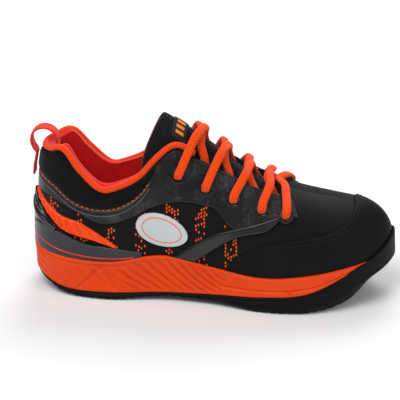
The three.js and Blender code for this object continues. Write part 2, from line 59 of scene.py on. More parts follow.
SEAM_X = [-134, -127, -107, -74, -35, 5, 42, 76, 107, 129, 138]
SEAM_LATERAL_Y = [0, -17, -28, -31, -31.5, -35, -41.5, -43.5, -35, -17, 5]
SEAM_MEDIAL_Y = [0, 16.5, 27, 27.5, 27, 31, 37.5, 39.5, 36, 24, 5]
SEAM_Z = [31, 30, 28, 28, 29, 26, 22, 22, 26, 32, 36]
CREST_X = [-88, -87, -80, -62, -33, -2, 26, 52, 76, 90, 94]
CREST_Y = [0, 0, 0, 0, 0, 1, 2, 3, 4, 5, 5]
CREST_Z = [158, 158, 157, 152, 141, 120, 97, 84, 77, 75, 75]
FULLNESS = [2.5, 2.5, 2.4, 2.2, 2, 1.95, 2.05, 2.2, 2.4, 2.5, 2.5]
GROUND_Z = [14, 9, 1, 0, 2.5, 2.5, 0, 0, 5, 19, 27]
RUBBER_Z = [18.6, 12, 6, 5, 7, 9, 12, 17, 32, 43, 50]
FOAM_Z = [36.5, 34, 31, 30, 37.5, 31, 27, 31, 36, 39, 42]
GROUND_OUT = [-3, 1, 6, 9, 4, 5, 8, 5, -1, -6, -8]
RUBBER_OUT = [4, 5, 6.5, 6.5, 5, 5.5, 6.5, 6, 5.1, 4.2, 4.2]
FOAM_OUT = [5, 5, 5, 5, 5, 5, 5, 5, 4.4, 2.6, 2.4]
EYELETS = [(4.3, 0.46), (4.85, 0.46), (5.45, 0.48), (6.1, 0.51), (6.68, 0.53)]


# ---------------------------------------------------------------- the foot-shaped surface
def ring(lateral, medial=None):
    """A smooth ring through the outer side's values forwards, then the inner side's back."""
    inner = lateral if medial is None else medial
    values = np.array(list(lateral) + list(inner[1:SEAT])[::-1], float)
    n = len(values)

    def at(q):
        u = np.asarray(q, float) % n
        i = np.floor(u).astype(int) % n
        f = u - np.floor(u)
        a, b, c, d = (values[(i + k) % n] for k in (-1, 0, 1, 2))
        return b + 0.5 * f * (c - a + f * (2 * a - 5 * b + 4 * c - d + f * (3 * (b - c) + d - a)))

    return at


def track(*points):
    """A smooth curve through (place, value) pairs, level beyond its ends."""
    x, y = np.array(points, float).T
    before = np.maximum(np.arange(len(x)) - 1, 0)
    after = np.minimum(np.arange(len(x)) + 1, len(x) - 1)
    slope = (y[after] - y[before]) / (x[after] - x[before])

    def at(q):
        u = np.clip(np.asarray(q, float), x[0], x[-1])
        i = np.clip(np.searchsorted(x, u, side="right") - 1, 0, len(x) - 2)
        h = x[i + 1] - x[i]
        f = (u - x[i]) / h
        rise = y[i] + (y[i + 1] - y[i]) * f * f * (3 - 2 * f)
        return rise + h * f * (1 - f) * (slope[i] * (1 - f) - slope[i + 1] * f)

    return at


seam_x = ring(SEAM_X)
seam_y = ring(SEAM_LATERAL_Y, SEAM_MEDIAL_Y)
seam_z = ring(SEAM_Z)
crest_x = ring(CREST_X)
crest_y = ring(CREST_Y)
crest_z = ring(CREST_Z)
fullness = ring(FULLNESS)
ground_ring = ring(GROUND_Z)
rubber_z = ring(RUBBER_Z)
rim_z = ring(FOAM_Z)
ground_out = ring(GROUND_OUT)
rubber_out = ring(RUBBER_OUT)
foam_out = ring(FOAM_OUT)


def ground_z(q):
    return np.maximum(ground_ring(q), 0)


def smooth(x):
    x = np.clip(x, 0, 1)
    return x * x * (3 - 2 * x)


def mix(a, b, f):
    return a + (b - a) * f


def unit(v):
    return v / np.maximum(np.linalg.norm(v, axis=-1, keepdims=True), 1e-9)


def skin(q, t):
    """Point of the surface at station q (negative on the inner side) and height t."""
    q, t = np.broadcast_arrays(np.asarray(q, float), np.asarray(t, float))
    power = 2 / fullness(q)
    c = np.clip(np.cos(t * np.pi / 2), 0, 1) ** power
    s = np.clip(np.sin(t * np.pi / 2), 0, 1) ** power
    x = mix(crest_x(q), seam_x(q), c)
    y = mix(crest_y(q), seam_y(q), c)
    return np.stack([x, y, mix(seam_z(q), crest_z(q), s)], -1)


def slope_normal(q, t):
    step = 1e-3
    t = np.clip(t, 0.02, 0.97)
    along = skin(q + step, t) - skin(q - step, t)
    up = skin(q, t + step) - skin(q, t - step)
    return unit(np.cross(along, up))


def skin_normal(q, t):
    """The normals of the two sides are blended where they meet on the crest."""
    q, t = np.broadcast_arrays(np.asarray(q, float), np.asarray(t, float))
    near = slope_normal(q, t)
    far = slope_normal(-q, t)
    weight = 0.5 * smooth((t - 0.94) / 0.06)[..., None]
    return unit(near * (1 - weight) + far * weight)


def place(q, t, offset=0.0):
    return skin(q, t) + skin_normal(q, t) * np.asarray(offset, float)[..., None]


def height_at(q, z):
    part = np.clip((z - seam_z(q)) / (crest_z(q) - seam_z(q)), 0, 1)
    return np.arcsin(part ** (fullness(q) / 2)) * 2 / np.pi


def beside(q, offset, z):
    """A point beside the seam in plan, moved out by offset, at height z."""
    q = np.asarray(q, float)
    step = 1e-3
    dx = seam_x(q + step) - seam_x(q - step)
    dy = seam_y(q + step) - seam_y(q - step)
    size = np.hypot(dx, dy)
    x = seam_x(q) + dy / size * offset
    y = seam_y(q) - dx / size * offset
    return np.stack(np.broadcast_arrays(x, y, z), -1).astype(float)


# ---------------------------------------------------------------- outlines on the surface
collar_top = track(
    (0, 0.37), (1, 0.385), (1.6, 0.41), (2.2, 0.33), (2.75, 0.27), (3.2, 0.31), (3.6, 0.39),
    (3.95, 0.53), (4.25, 0.635), (4.6, 0.64), (5.5, 0.69), (6.2, 0.74), (6.75, 0.8), (7, 1),
)
panel_low = track((0, 0.28), (1.4, 0.25), (2.25, 0.2), (2.8, 0.2), (3.25, 0.24), (3.6, 0.32), (3.85, 0.44))
saddle_low = track(
    (0, 0.2), (1.5, 0.19), (2.25, 0.165), (2.8, 0.14), (3.4, 0.19), (3.8, 0.26),
    (4.45, 0.34), (5.5, 0.4), (6.5, 0.5), (7, 0.62),
)
toe_cap_top = track(
    (5.05, 0.02), (5.45, 0.12), (5.9, 0.22), (6.5, 0.31), (7.1, 0.37), (7.7, 0.42),
    (8.2, 0.51), (8.6, 0.62), (9, 0.72), (9.5, 0.81), (10, 0.84),
)
clip_top = track((0, 0.18), (0.9, 0.14), (1.5, 0.1), (2, 0.075), (2.5, 0.058), (3.1, 0.055), (3.6, 0.05))
insert_top = track((0.4, 0.19), (1.4, 0.145), (1.8, 0.13), (2.25, 0.125), (2.6, 0.105), (3.1, 0.06))
insert_low = track((0.4, 0.185), (1.4, 0.115), (1.8, 0.09), (2.25, 0.08), (2.6, 0.075), (3.1, 0.058))
strap_top = track((4.2, 0.04), (4.95, 0.21), (5.45, 0.3), (6.1, 0.43), (6.7, 0.56))
strap_low = track((4.5, 0.01), (4.95, 0.12), (5.55, 0.26), (6.1, 0.35), (6.7, 0.46))
tongue_low = track((3.56, 0.41), (3.7, 0.4), (4.3, 0.38), (5, 0.4), (6, 0.48), (7, 0.58), (7.4, 0.64))
tongue_top = track((3.56, 0.48), (3.72, 0.66), (3.84, 0.84), (3.93, 1))


def rim(q):
    return height_at(q, rim_z(q) - 1.5)


def bumper(q):
    """1 where the rubber climbs over the toe."""
    return smooth((np.abs(q) - 7.8) / 0.8)


# ---------------------------------------------------------------- node trees and materials
def linear(code):
    """An sRGB colour code as linear red, green, blue and alpha."""
    parts = [int(code[i : i + 2], 16) / 255 for i in (1, 3, 5)]
    return tuple(c / 12.92 if c < 0.04045 else ((c + 0.055) / 1.055) ** 2.4 for c in parts) + (1.0,)


def add_node(tree, kind, inputs=(), to=None, **settings):
    """Adds a node. inputs, by order or name, are values, colours or what feeds them; to is what it feeds."""
    made = tree.nodes.new(kind)
    for key, value in settings.items():
        setattr(made, key, value)
    for key, value in inputs.items() if isinstance(inputs, dict) else enumerate(inputs):
        if isinstance(value, bpy.types.Node):
            value = value.outputs[0]
        if isinstance(value, bpy.types.NodeSocket):
            tree.links.new(value, made.inputs[key])
        elif value is not None:
            is_color = isinstance(value, str) and value.startswith("#")
            made.inputs[key].default_value = linear(value) if is_color else value
    if to is not None:
        tree.links.new(made.outputs[0], to)
    return made


def start_finish(name, color, roughness, **sockets):
    """A new material, its tree and shader, and a point's place on the object and on the fabric, in metres."""
    material = bpy.data.materials.new(name)
    material.use_nodes = True
    tree = material.node_tree
    shader = tree.nodes["Principled BSDF"]
    shader.inputs["Base Color"].default_value = linear(color)
    shader.inputs["Roughness"].default_value = roughness
    shader.inputs["Specular IOR Level"].default_value = 0.1 if roughness > 0.55 else 0.25
    for key, value in sockets.items():
        shader.inputs[key.replace("_", " ")].default_value = value
    space = add_node(tree, "ShaderNodeTexCoord")
    return material, tree, shader, space.outputs["Object"], space.outputs["UV"]


def ribbed_fabric(name, dark, light, roughness, pitch, slope, depth, **sockets):
    """A fabric of two sets of yarns that slope either way, pitch metres apart."""
    material, tree, shader, _, cloth = start_finish(name, light, roughness, **sockets)
    yarns = []
    for turn in (slope, -slope):
        turned = add_node(tree, "ShaderNodeMapping", {"Vector": cloth, "Rotation": (0, 0, turn)})
        yarns.append(add_node(tree, "ShaderNodeTexWave", {"Vector": turned, "Scale": math.pi / 10 / pitch}))
    raised = add_node(tree, "ShaderNodeMath", yarns, operation="MAXIMUM")
    # painted shade: the gaps between the raised yarns are coloured darker, the yarn tops lighter
    add_node(tree, "ShaderNodeMixRGB", [raised, dark, light], to=shader.inputs["Base Color"])
    add_node(tree, "ShaderNodeBump", {"Height": raised, "Distance": depth}, to=shader.inputs["Normal"])
    return material


def mottled(name, dark, light, roughness, patch, grain, depth, **sockets):
    """A moulded or brushed surface: colour in soft patches, and a fine grain, of those sizes in metres."""
    material, tree, shader, place, _ = start_finish(name, light, roughness, **sockets)
    cloud = add_node(tree, "ShaderNodeTexNoise", {"Vector": place, "Scale": 0.5 / patch, "Detail": 3.0})
    add_node(tree, "ShaderNodeMixRGB", [cloud, dark, light], to=shader.inputs["Base Color"])
    pits = add_node(tree, "ShaderNodeTexNoise", {"Vector": place, "Scale": 0.5 / grain, "Detail": 2.0})
    add_node(tree, "ShaderNodeBump", {"Height": pits, "Distance": depth}, to=shader.inputs["Normal"])
    return material


def spacer_mesh():
    # spacer mesh of the tongue: dull black ribs 4.6 mm apart, with rows of open cells between them, coloured
    # near black as painted shade
    material, tree, shader, _, cloth = start_finish("spacer_mesh", "#131316", 0.85, Sheen_Weight=0.12)
    turned = add_node(tree, "ShaderNodeMapping", {"Vector": cloth, "Rotation": (0, 0, 0.45)})
    channel = add_node(tree, "ShaderNodeTexWave", {"Vector": turned, "Scale": math.pi / 10 / 0.0046})
    across = add_node(tree, "ShaderNodeMapping", {"Vector": cloth, "Rotation": (0, 0, -1.1)})
    cells = add_node(tree, "ShaderNodeTexWave", {"Vector": across, "Scale": math.pi / 10 / 0.0026})
    sunk_and_shaded = add_node(tree, "ShaderNodeMath", [channel, cells], operation="MULTIPLY")
    # painted shade: the sunk cells are coloured near black, the ribs lighter
    add_node(tree, "ShaderNodeMixRGB", [sunk_and_shaded, "#1c1c21", "#020203"], to=shader.inputs["Base Color"])
    bumped = {"Height": sunk_and_shaded, "Distance": 0.0013}
    add_node(tree, "ShaderNodeBump", bumped, to=shader.inputs["Normal"], invert=True)
    return material


def crinkled_film():
    # polyurethane film bonded over knit: glossy and crinkled, with painted glints, a lighter colour on the
    # crinkle's high spots
    gloss = {"Coat_Weight": 0.25, "Coat_Roughness": 0.2}
    material, tree, shader, place, _ = start_finish("crinkled_film", "#17181a", 0.26, **gloss)
    drawn = add_node(tree, "ShaderNodeMapping", {"Vector": place, "Scale": (1, 1, 0.45)})
    fine = {"Vector": drawn, "Scale": 420.0, "Detail": 6.0, "Roughness": 0.75}
    crinkle = add_node(tree, "ShaderNodeTexNoise", fine)
    patch = add_node(tree, "ShaderNodeTexNoise", {"Vector": place, "Scale": 70.0, "Detail": 3.0})
    both = add_node(tree, "ShaderNodeMath", [crinkle, patch], operation="MULTIPLY")
    # painted glints: the crinkle's high spots, in patches, are coloured lighter
    painted_glint = add_node(tree, "ShaderNodeMapRange", [both, 0.25, 0.42])
    add_node(tree, "ShaderNodeMixRGB", [painted_glint, "#060607", "#34373b"], to=shader.inputs["Base Color"])
    add_node(tree, "ShaderNodeBump", {"Height": crinkle, "Distance": 0.0008}, to=shader.inputs["Normal"])
    return material


LOOKS = {
    # knitted polyester: dull, black, finely ribbed
    "knit": ribbed_fabric(
        "knitted_polyester", "#050506", "#151517", 0.92, 0.0014, 0.5, 0.0004, Sheen_Weight=0.1
    ),
    # sandwich mesh: dull, with a fine open cell
    "mesh": ribbed_fabric(
        "sandwich_mesh", "#040405", "#141417", 0.85, 0.0012, 0.78, 0.0003, Sheen_Weight=0.1
    ),
    "tongue": spacer_mesh(),
    "crinkled": crinkled_film(),
    # smooth polyurethane film: broad soft glints
    "film": mottled("smooth_gloss_film", "#121315", "#2b2d30", 0.24, 0.011, 0.006, 0.0003, Coat_Weight=0.25),
    # matt polyurethane film: fine grain, barely any glint
    "matt": mottled("matt_film", "#0b0b0d", "#131316", 0.56, 0.03, 0.0005, 0.00008),
    # brushed polyester lining: a soft red nap
    "lining": mottled("brushed_lining", "#c20300", "#e80a00", 0.85, 0.004, 0.0007, 0.0003, Sheen_Weight=0.25),
    # flat polyester braid: bright, with a fine crossing of yarns
    "lace": ribbed_fabric(
        "polyester_braid", "#e03800", "#ff5000", 0.7, 0.0017, 0.8, 0.0004, Sheen_Weight=0.15
    ),
    # tape rolled over a cord: short slanting ribs
    "binding": ribbed_fabric(
        "rolled_tape", "#e03000", "#ff4c00", 0.7, 0.0015, 0.35, 0.0004, Sheen_Weight=0.15
    ),
    # woven polyester webbing: red, ribbed across
    "webbing": ribbed_fabric("webbing", "#cc1004", "#f2361a", 0.7, 0.0018, 0.1, 0.0004, Sheen_Weight=0.15),
    # brushed nylon of the padded collar: deep matt black
    "collar": mottled(
        "brushed_collar_nylon", "#070708", "#0f0f11", 0.85, 0.005, 0.0006, 0.0002, Sheen_Weight=0.08
    ),
    # plain inner textile: dull black weave
    "inner": ribbed_fabric(
        "inner_textile", "#0f0f10", "#1e1e21", 0.9, 0.0013, 0.78, 0.0002, Sheen_Weight=0.1
    ),
    # moulded EVA foam: satin orange, slightly mottled
    "midsole": mottled("moulded_eva", "#dc3c00", "#f44a00", 0.5, 0.02, 0.0006, 0.00006),
    # moulded rubber: matt black with a fine tooling grain
    "rubber": mottled("moulded_rubber", "#09090a", "#121214", 0.58, 0.015, 0.0005, 0.00008),
    # injection-moulded thermoplastic polyurethane: glossy, with faint flow marks
    "clip": mottled("moulded_tpu_grey", "#26262a", "#38393e", 0.3, 0.012, 0.0008, 0.00005, Coat_Weight=0.2),
    "clip_dark": mottled(
        "moulded_tpu_black", "#0b0c0d", "#17181a", 0.2, 0.012, 0.0008, 0.00004, Coat_Weight=0.4
    ),
    "clip_line": mottled("moulded_tpu_red", "#d02a08", "#f0400e", 0.4, 0.01, 0.0008, 0.00004),
    "insert": mottled(
        "moulded_tpu_orange", "#f23a00", "#ff5200", 0.38, 0.01, 0.0008, 0.00004, Coat_Weight=0.2
    ),
    # moulded nylon: hard, dark, with a crisp glint
    "eyelet": mottled("moulded_nylon", "#101112", "#242629", 0.25, 0.01, 0.0008, 0.00004, Coat_Weight=0.3),
    # printed film: flat and even
    "badge": mottled("printed_film_grey", "#bfc5c8", "#d2d7da", 0.4, 0.02, 0.0006, 0.00003),
    "badge_line": mottled("printed_film_orange", "#e8761a", "#f28a2a", 0.4, 0.02, 0.0006, 0.00003),
    # woven satin label: close and faintly shiny
    "label": ribbed_fabric("satin_label", "#151517", "#28282b", 0.55, 0.0009, 0.78, 0.0001),
    "label_mark": ribbed_fabric("satin_label_orange", "#e4700e", "#fa962e", 0.55, 0.0009, 0.78, 0.0001),
    # spun polyester thread: dull
    "thread": mottled("black_thread", "#060607", "#121214", 0.55, 0.003, 0.0004, 0.00005),
    "thread_grey": mottled("grey_thread", "#55585c", "#7a7d81", 0.5, 0.003, 0.0004, 0.00005),
    "thread_orange": mottled("orange_thread", "#e24a0c", "#f66a1c", 0.65, 0.003, 0.0004, 0.00005),
    # pressed fibre board: hidden, pale brown
    "board": mottled("fibre_board", "#7e776c", "#978f82", 0.9, 0.01, 0.001, 0.0001),
    # shrunk acetate film on the lace ends: hard and shiny
    "aglet": mottled("acetate_tip", "#b83006", "#d84410", 0.25, 0.01, 0.0008, 0.00004, Coat_Weight=0.4),
}


# ---------------------------------------------------------------- meshes
def make_object(name, points, faces, look, uv=None, sharp=42.0, weld=True):
    """A welded, smooth-shaded object from points in millimetres; uv is one pair in metres per point."""
    mesh = bpy.data.meshes.new(name)
    mesh.from_pydata((np.asarray(points) + SHIFT) * MM, [], faces)
    if uv is not None:
        layer = mesh.uv_layers.new(name="cloth")
        corner = np.empty(len(mesh.loops), dtype=np.int32)
        mesh.loops.foreach_get("vertex_index", corner)
        layer.data.foreach_set("uv", np.asarray(uv, np.float32)[corner].ravel())
    if weld:
        bm = bmesh.new()
        bm.from_mesh(mesh)
        bmesh.ops.remove_doubles(bm, verts=bm.verts, dist=2e-6)
        bmesh.ops.dissolve_degenerate(bm, dist=1e-7, edges=bm.edges)
        bm.to_mesh(mesh)
        bm.free()
    mesh.shade_smooth()
    mesh.set_sharp_from_angle(angle=math.radians(sharp))
    mesh.materials.append(LOOKS[look])
    obj = bpy.data.objects.new(name, mesh)
    bpy.context.scene.collection.objects.link(obj)
    return obj


def stands_for(obj, body, *nodes):
    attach(obj, body)
    if nodes:
        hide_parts(*nodes)
    return obj


def grid_faces(rows, columns, start=0, flip=False, close=False):
    """Quads between rows of a grid with that many columns; close joins the last column to the first."""
    i, j = np.meshgrid(np.arange(rows - 1), np.arange(columns if close else columns - 1), indexing="ij")
    k = (j + 1) % columns
    quad = [i * columns + j, i * columns + k, (i + 1) * columns + k, (i + 1) * columns + j]
    faces = np.stack([c.ravel() + start for c in (quad[::-1] if flip else quad)], 1)
    return faces.tolist()


ROUND = np.array([0, 0.04, 0.15, 0.34, 0.62, 1.0])


def rounded_edge(distance, radius):
    part = 1 - np.clip(distance / radius, 0, 1)
    return np.sqrt(np.clip(1 - part * part, 0, 1))


def panel(
    name, look, start, end, low, high, inner, outer,
    sides=(1, -1), columns=90, rows=18, radius=0.7, relief=None,
):
    """A layer of the upper between two heights and two offsets, with rolled edges, on one side or both."""
    both = len(sides) == 2
    per_mm = 1 / 38.0
    q = np.linspace(start, end, columns)
    first_free = not (both and start == 0)
    last_free = not (both and end == SEAT)
    edge = ROUND * radius * per_mm
    if first_free:
        q = np.concatenate([start + edge, q[q > start + edge[-1]]])
    if last_free:
        q = np.concatenate([q[q < end - edge[-1]], end - edge[::-1]])
    n = len(q)
    bottom = np.broadcast_to(low(q) if callable(low) else low, n)
    top = np.broadcast_to(high(q) if callable(high) else high, n)
    bottom = np.clip(bottom, 0, 1)
    top = np.clip(np.maximum(top, bottom + 1e-4), 0, 1)
    points, faces, uvs = [], [], []
    fine = np.linspace(0, 1, 70)
    for side in sides:
        t_fine = bottom[:, None] + (top - bottom)[:, None] * fine
        path = skin(side * q[:, None], t_fine)
        steps = np.linalg.norm(np.diff(path, axis=1), axis=2)
        length = np.concatenate([np.zeros((n, 1)), np.cumsum(steps, axis=1)], 1)
        total = length[:, -1:]
        r = np.minimum(radius, total * 0.3)
        middle = np.linspace(0, 1, rows)[1:-1]
        along = np.concatenate([r * ROUND, r + (total - 2 * r) * middle, total - r * ROUND[::-1]], 1)
        t = np.stack([np.interp(along[i], length[i], t_fine[i]) for i in range(n)])
        to_top = np.where(top[:, None] > 0.9999, 99.0, total - along)
        distance = np.minimum(along, to_top)
        if first_free:
            distance = np.minimum(distance, ((q - start) / per_mm)[:, None])
        if last_free:
            distance = np.minimum(distance, ((end - q) / per_mm)[:, None])
        q_grid = np.broadcast_to(q[:, None], t.shape)
        inside = np.broadcast_to(inner(q_grid, t) if callable(inner) else inner, t.shape)
        outside = np.broadcast_to(outer(q_grid, t) if callable(outer) else outer, t.shape)
        if relief is not None:
            outside = outside + relief(q_grid, t, along, total)
        outside = inside + (outside - inside) * rounded_edge(distance, r)
        base = skin(side * q[:, None], t)
        normal = skin_normal(side * q[:, None], t)
        climb = skin(side * q[:, None], np.linspace(0, 1, 30)[None] * bottom[:, None])
        foot = np.linalg.norm(np.diff(climb, axis=1), axis=2).sum(1)
        step = np.linalg.norm(np.diff(skin(side * q, np.full(n, 0.25)), axis=0), axis=1)
        run = np.concatenate([[0], np.cumsum(step)]) + start / per_mm
        uv = np.stack([np.broadcast_to(run[:, None] * side, t.shape), foot[:, None] + along], -1) * MM
        for offset, flip in ((outside, side > 0), (inside, side < 0)):
            faces += grid_faces(n, t.shape[1], sum(len(p) for p in points), flip)
            points.append((base + normal * offset[..., None]).reshape(-1, 3))
            uvs.append(uv.reshape(-1, 2))
    return make_object(name, np.concatenate(points), faces, look, np.concatenate(uvs))


def tube(name, look, path, width, thick=None, normals=None, sides=14, caps=True, squash=1.0):
    """A rounded cord of that width and thickness through the points, with its map along and round it."""
    path = np.asarray(path, float)
    thick = thick or width
    tangent = unit(np.gradient(path, axis=0))
    if normals is None:
        up = np.zeros_like(path)
        up[0] = unit(np.cross(tangent[0], [0.3, 1, 0.2]))
        for i in range(1, len(path)):
            up[i] = unit(up[i - 1] - tangent[i] * np.dot(up[i - 1], tangent[i]))
    else:
        up = unit(normals - tangent * (normals * tangent).sum(1, keepdims=True))
    across = np.cross(tangent, up)
    angle = np.linspace(0, 2 * np.pi, sides + 1)
    c, s = np.cos(angle), np.sin(angle)
    shape = [np.sign(v) * np.abs(v) ** squash for v in (c, s)]
    rings = path[:, None] + across[:, None] * shape[0][:, None] * width / 2
    rings = rings + up[:, None] * shape[1][:, None] * thick / 2
    run = np.concatenate([[0], np.cumsum(np.linalg.norm(np.diff(path, axis=0), axis=1))])
    girth = angle / (2 * np.pi) * math.pi * (width + thick) / 2
    uv = np.stack(np.broadcast_arrays(run[:, None], girth[None]), -1).reshape(-1, 2) * MM
    points = rings.reshape(-1, 3)
    faces = grid_faces(len(path), sides + 1, flip=True)
    if caps:
        last = (len(path) - 1) * (sides + 1)
        faces.append(list(range(sides)))
        faces.append([last + k for k in range(sides)][::-1])
    obj = make_object(name, points, faces, look, uv)
    return obj


def spline(points, per_span=8):
    """A smooth path through the points."""
    p = np.asarray(points, float)
    p = np.concatenate([[2 * p[0] - p[1]], p, [2 * p[-1] - p[-2]]])
    f = np.linspace(0, 1, per_span, endpoint=False)[:, None]
    parts = []
    for i in range(1, len(p) - 2):
        a, b, c, d = p[i - 1 : i + 3]
        parts.append(b + 0.5 * f * (c - a + f * (2 * a - 5 * b + 4 * c - d + f * (3 * (b - c) + d - a))))
    return np.concatenate(parts + [p[-2:-1]])
def repeat_tree():
    """Sets a small rounded piece on each point, its height along out and its length along lie."""
    tree = bpy.data.node_groups.new("rounded_pieces", "GeometryNodeTree")
    face = tree.interface
    face.new_socket("Geometry", in_out="INPUT", socket_type="NodeSocketGeometry")
    for name in ("Width", "Length", "Height"):
        face.new_socket(name, in_out="INPUT", socket_type="NodeSocketFloat")
    face.new_socket("Material", in_out="INPUT", socket_type="NodeSocketMaterial")
    face.new_socket("Geometry", in_out="OUTPUT", socket_type="NodeSocketGeometry")
    given = add_node(tree, "NodeGroupInput").outputs
    out = add_node(tree, "GeometryNodeInputNamedAttribute", ["out"], data_type="FLOAT_VECTOR")
    lie = add_node(tree, "GeometryNodeInputNamedAttribute", ["lie"], data_type="FLOAT_VECTOR")
    turn = add_node(tree, "FunctionNodeAxesToRotation", [out, lie], primary_axis="Z", secondary_axis="Y")
    size = add_node(tree, "ShaderNodeCombineXYZ", [given["Width"], given["Length"], given["Height"]])
    ball = add_node(tree, "GeometryNodeMeshUVSphere", {"Segments": 10, "Rings": 6, "Radius": 0.5})
    shape = add_node(tree, "GeometryNodeTransform", {"Geometry": ball, "Scale": size})
    placed = {"Points": given["Geometry"], "Instance": shape, "Rotation": turn}
    set_out = add_node(tree, "GeometryNodeInstanceOnPoints", placed)
    real = add_node(tree, "GeometryNodeRealizeInstances", [set_out])
    painted = add_node(tree, "GeometryNodeSetMaterial", {"Geometry": real, "Material": given["Material"]})
    add_node(tree, "NodeGroupOutput", [painted])
    return tree


REPEAT = repeat_tree()


def repeat(name, look, points, out, lie, size):
    """A mesh of small rounded pieces of that width, length and height in millimetres, one on each point."""
    mesh = bpy.data.meshes.new(name)
    mesh.from_pydata((np.asarray(points) + SHIFT) * MM, [], [])
    for key, value in (("out", out), ("lie", lie)):
        attribute = mesh.attributes.new(key, "FLOAT_VECTOR", "POINT")
        attribute.data.foreach_set("vector", np.asarray(value, np.float32).ravel())
    obj = bpy.data.objects.new(name, mesh)
    bpy.context.scene.collection.objects.link(obj)
    modifier = obj.modifiers.new("rounded_pieces", "NODES")
    modifier.node_group = REPEAT
    values = dict(zip(("Width", "Length", "Height"), np.array(size) * MM), Material=LOOKS[look])
    for item in REPEAT.interface.items_tree:
        if item.in_out == "INPUT" and item.name in values:
            value = values[item.name]
            modifier[item.identifier] = float(value) if item.name != "Material" else value
    bpy.context.view_layer.update()
    evaluated = obj.evaluated_get(bpy.context.evaluated_depsgraph_get())
    obj_mesh = bpy.data.meshes.new_from_object(evaluated)
    obj.modifiers.clear()
    obj.data = obj_mesh
    obj_mesh.shade_smooth()
    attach(obj, SHOE)
    return obj


def stitch_row(path, out, pitch):
    """Where stitches lie on a path with outward directions, and which way each one points."""
    path = np.asarray(path, float)
    run = np.concatenate([[0], np.cumsum(np.linalg.norm(np.diff(path, axis=0), axis=1))])
    at = np.arange(pitch / 2, run[-1], pitch)
    points = np.stack([np.interp(at, run, path[:, k]) for k in range(3)], 1)
    ahead = np.stack([np.interp(at + 0.4, run, path[:, k]) for k in range(3)], 1)
    normal = unit(np.stack([np.interp(at, run, out[:, k]) for k in range(3)], 1))
    return points, normal, unit(ahead - points + 1e-6)


# ---------------------------------------------------------------- sole
STATIONS = np.linspace(0, SEAT, 241)
AROUND = np.concatenate([STATIONS, -STATIONS[1:-1][::-1]])  # once round the foot


def round_corners(loops, radius):
    """Loops round the foot with each inner corner replaced by a small curve."""
    made = [loops[0]]
    for before, corner, after in zip(loops, loops[1:], loops[2:]):
        reach = []
        for other in (before, after):
            gap = np.linalg.norm(other - corner, axis=1, keepdims=True)
            reach.append(corner + (other - corner) * np.minimum(radius / np.maximum(gap, 1e-6), 0.45))
        for f in (0, 0.25, 0.5, 0.75, 1):
            made.append(reach[0] * (1 - f) ** 2 + corner * 2 * f * (1 - f) + reach[1] * f * f)
    return made + [loops[-1]]


def refine(loops, gap):
    """Adds loops so that none are further apart than gap."""
    made = [loops[0]]
    for a, b in zip(loops, loops[1:]):
        count = max(1, int(np.ceil(np.linalg.norm(b - a, axis=1).max() / gap)))
        made += [a + (b - a) * k / count for k in range(1, count + 1)]
    return made


def cap(loop, rows, lift=None):
    """A grid of points from the outer side of a loop to its inner side."""
    n = len(STATIONS)
    outer = loop[:n]
    inner = np.concatenate([loop[:1], loop[n:][::-1], loop[n - 1 : n]])
    s = np.linspace(0, 1, rows)[None, :, None]
    grid = outer[:, None] * (1 - s) + inner[:, None] * s
    if lift is not None:
        width = np.linalg.norm(outer - inner, axis=1)[:, None]
        grid[..., 2] += lift(grid[..., 0], grid[..., 1], np.minimum(s, 1 - s)[..., 0] * width)
    return grid


def sole_body(name, look, loops, radius, gap, relief=None, under=None, rows=60):
    """A solid of loops from its lower cap to its upper one, with rounded corners and a patterned wall."""
    loops = refine(round_corners([loop(AROUND) for loop in loops], radius), gap)
    wall = np.stack(loops)
    if relief is not None:
        along = np.roll(wall, -1, axis=1) - np.roll(wall, 1, axis=1)
        normal = unit(np.cross(along, np.gradient(wall, axis=0)))
        wall = wall + normal * relief(np.broadcast_to(AROUND, wall.shape[:2]), wall)[..., None]
    points, faces = [wall.reshape(-1, 3)], grid_faces(*wall.shape[:2], flip=True, close=True)
    for loop, flip, lift in ((wall[0], True, under), (wall[-1], False, None)):
        grid = cap(loop, rows if lift is not None else 12, lift)
        faces += grid_faces(*grid.shape[:2], sum(len(p) for p in points), flip)
        points.append(grid.reshape(-1, 3))
    return make_object(name, np.concatenate(points), faces, look)


def band(x, low, high, edge):
    """1 between low and high, falling smoothly to 0 over edge on both sides."""
    return smooth((x - low) / edge + 0.5) * smooth((high - x) / edge + 0.5)


def groove(distance, width):
    """-1 at the middle of a groove, and 0 outside it."""
    return -np.clip(1 - (distance / width) ** 2, 0, 1) ** 0.7


